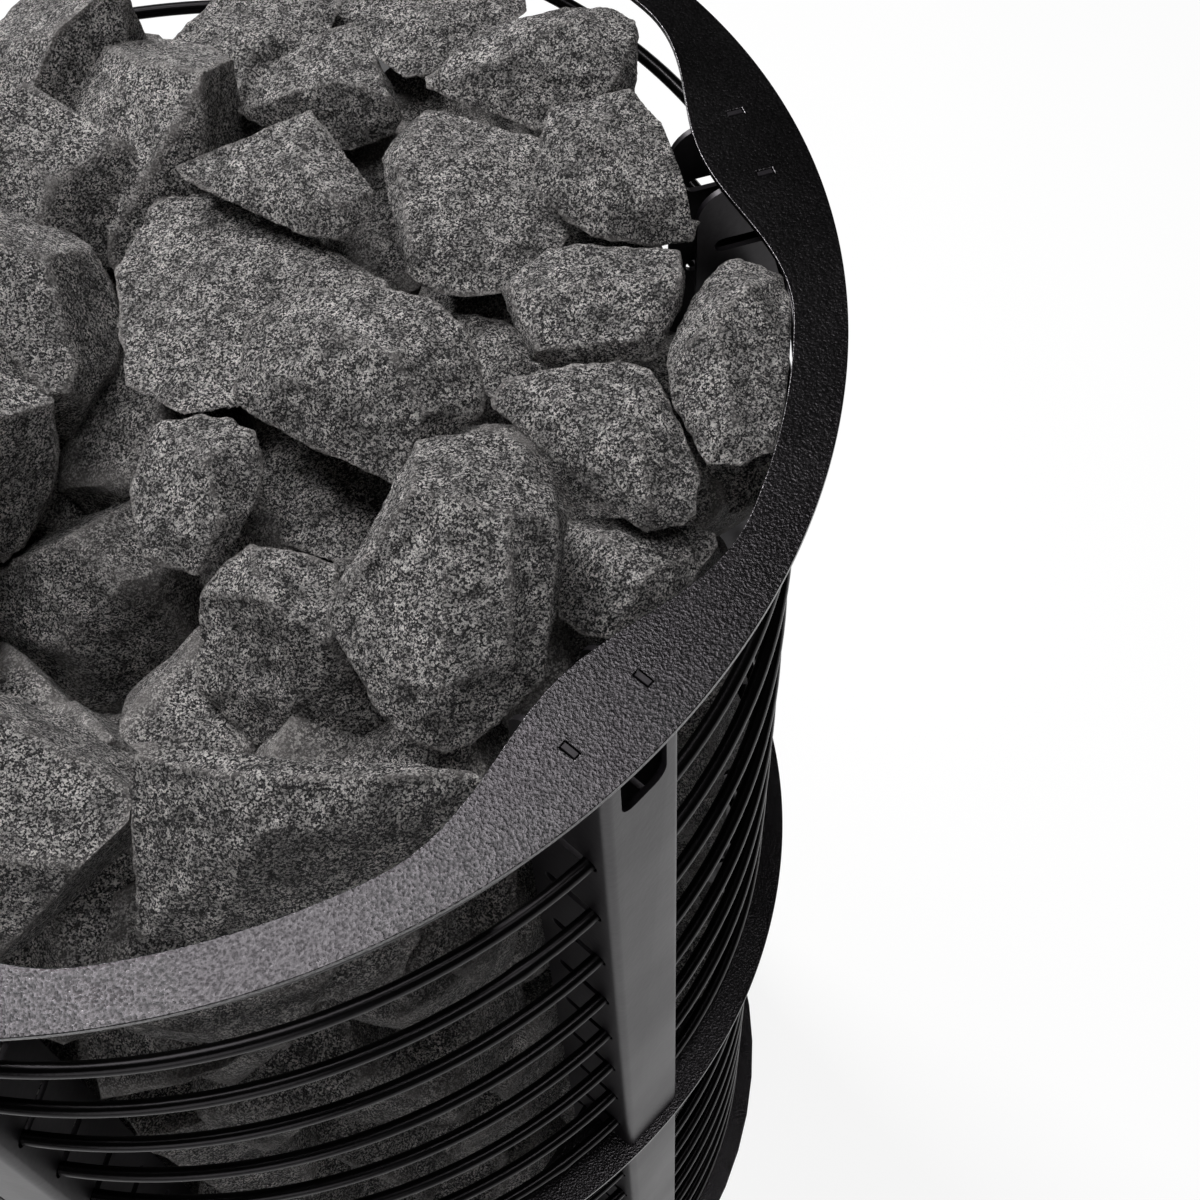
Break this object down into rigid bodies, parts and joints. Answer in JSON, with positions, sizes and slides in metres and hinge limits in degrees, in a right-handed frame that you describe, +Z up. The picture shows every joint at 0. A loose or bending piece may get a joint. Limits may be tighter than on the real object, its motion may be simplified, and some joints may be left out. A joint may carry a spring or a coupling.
{
  "type": "sauna stove",
  "caption": "Free-standing pillar sauna stove: a round two-tier basket of black steel rings, folded posts and rod hoops, filled with dark broken stones over electric elements.",
  "frame": {"origin": "on the floor, on the stove's vertical axis", "axes": "+Z up along the axis; post 1 on +X; the cable gland faces +Y, the back"},
  "size_m": [0.45, 0.45, 0.8016],
  "materials": {
    "coated_sheet": "black textured powder coat",
    "coated_post": "black satin powder coat",
    "coated_rod": "black semi-gloss coat",
    "stainless_tube": "drawn stainless tube",
    "zinc_steel": "zinc-plated turned steel",
    "zinc_sheet": "galvanised sheet",
    "steatite": "unglazed",
    "gland_plastic": "moulded",
    "diabase": "broken, speckled grey"
  },
  "bodies": {
    "stove": {"top_rim": "coated_sheet", "middle_ring": "coated_sheet", "base_plate": "coated_sheet", "post_upper_1": "coated_post", "post_upper_2": "coated_post", "post_upper_3": "coated_post", "post_upper_4": "coated_post", "post_upper_5": "coated_post", "post_upper_6": "coated_post", "post_lower_1": "coated_post", "post_lower_2": "coated_post", "post_lower_3": "coated_post", "post_lower_4": "coated_post", "post_lower_5": "coated_post", "post_lower_6": "coated_post", "hoop_upper_1": "coated_rod", "hoop_upper_2": "coated_rod", "hoop_upper_3": "coated_rod", "hoop_upper_4": "coated_rod", "hoop_upper_5": "coated_rod", "hoop_upper_6": "coated_rod", "hoop_upper_7": "coated_rod", "hoop_upper_8": "coated_rod", "hoop_upper_9": "coated_rod", "hoop_lower_1": "coated_rod", "hoop_lower_2": "coated_rod", "hoop_lower_3": "coated_rod", "hoop_lower_4": "coated_rod", "hoop_lower_5": "coated_rod", "hoop_lower_6": "coated_rod", "hoop_lower_7": "coated_rod", "hoop_lower_8": "coated_rod", "hoop_lower_9": "coated_rod", "heating_element_1": "stainless_tube", "heating_element_2": "stainless_tube", "heating_element_3": "stainless_tube", "junction_housing": "zinc_sheet", "junction_cover": "zinc_sheet", "terminal_block": "steatite", "cable_gland": "gland_plastic", "stone_bed_lower": "diabase", "stone_bed_upper": "diabase", "stone_01": "diabase", "stone_02": "diabase", "stone_03": "diabase", "stone_04": "diabase", "stone_05": "diabase", "stone_06": "diabase", "stone_07": "diabase", "stone_08": "diabase", "stone_09": "diabase", "stone_10": "diabase", "stone_11": "diabase", "stone_12": "diabase"},
    "foot_1": {"levelling_foot_1": "zinc_steel"},
    "foot_2": {"levelling_foot_2": "zinc_steel"},
    "foot_3": {"levelling_foot_3": "zinc_steel"},
    "foot_4": {"levelling_foot_4": "zinc_steel"}
  },
  "joints": [
    {"name": "foot_1_height", "type": "slide", "parent": "stove", "child": "foot_1", "axis": [0, 0, -1], "range_m": [0, 0.012]},
    {"name": "foot_2_height", "type": "slide", "parent": "stove", "child": "foot_2", "axis": [0, 0, -1], "range_m": [0, 0.012]},
    {"name": "foot_3_height", "type": "slide", "parent": "stove", "child": "foot_3", "axis": [0, 0, -1], "range_m": [0, 0.012]},
    {"name": "foot_4_height", "type": "slide", "parent": "stove", "child": "foot_4", "axis": [0, 0, -1], "range_m": [0, 0.012]}
  ]
}
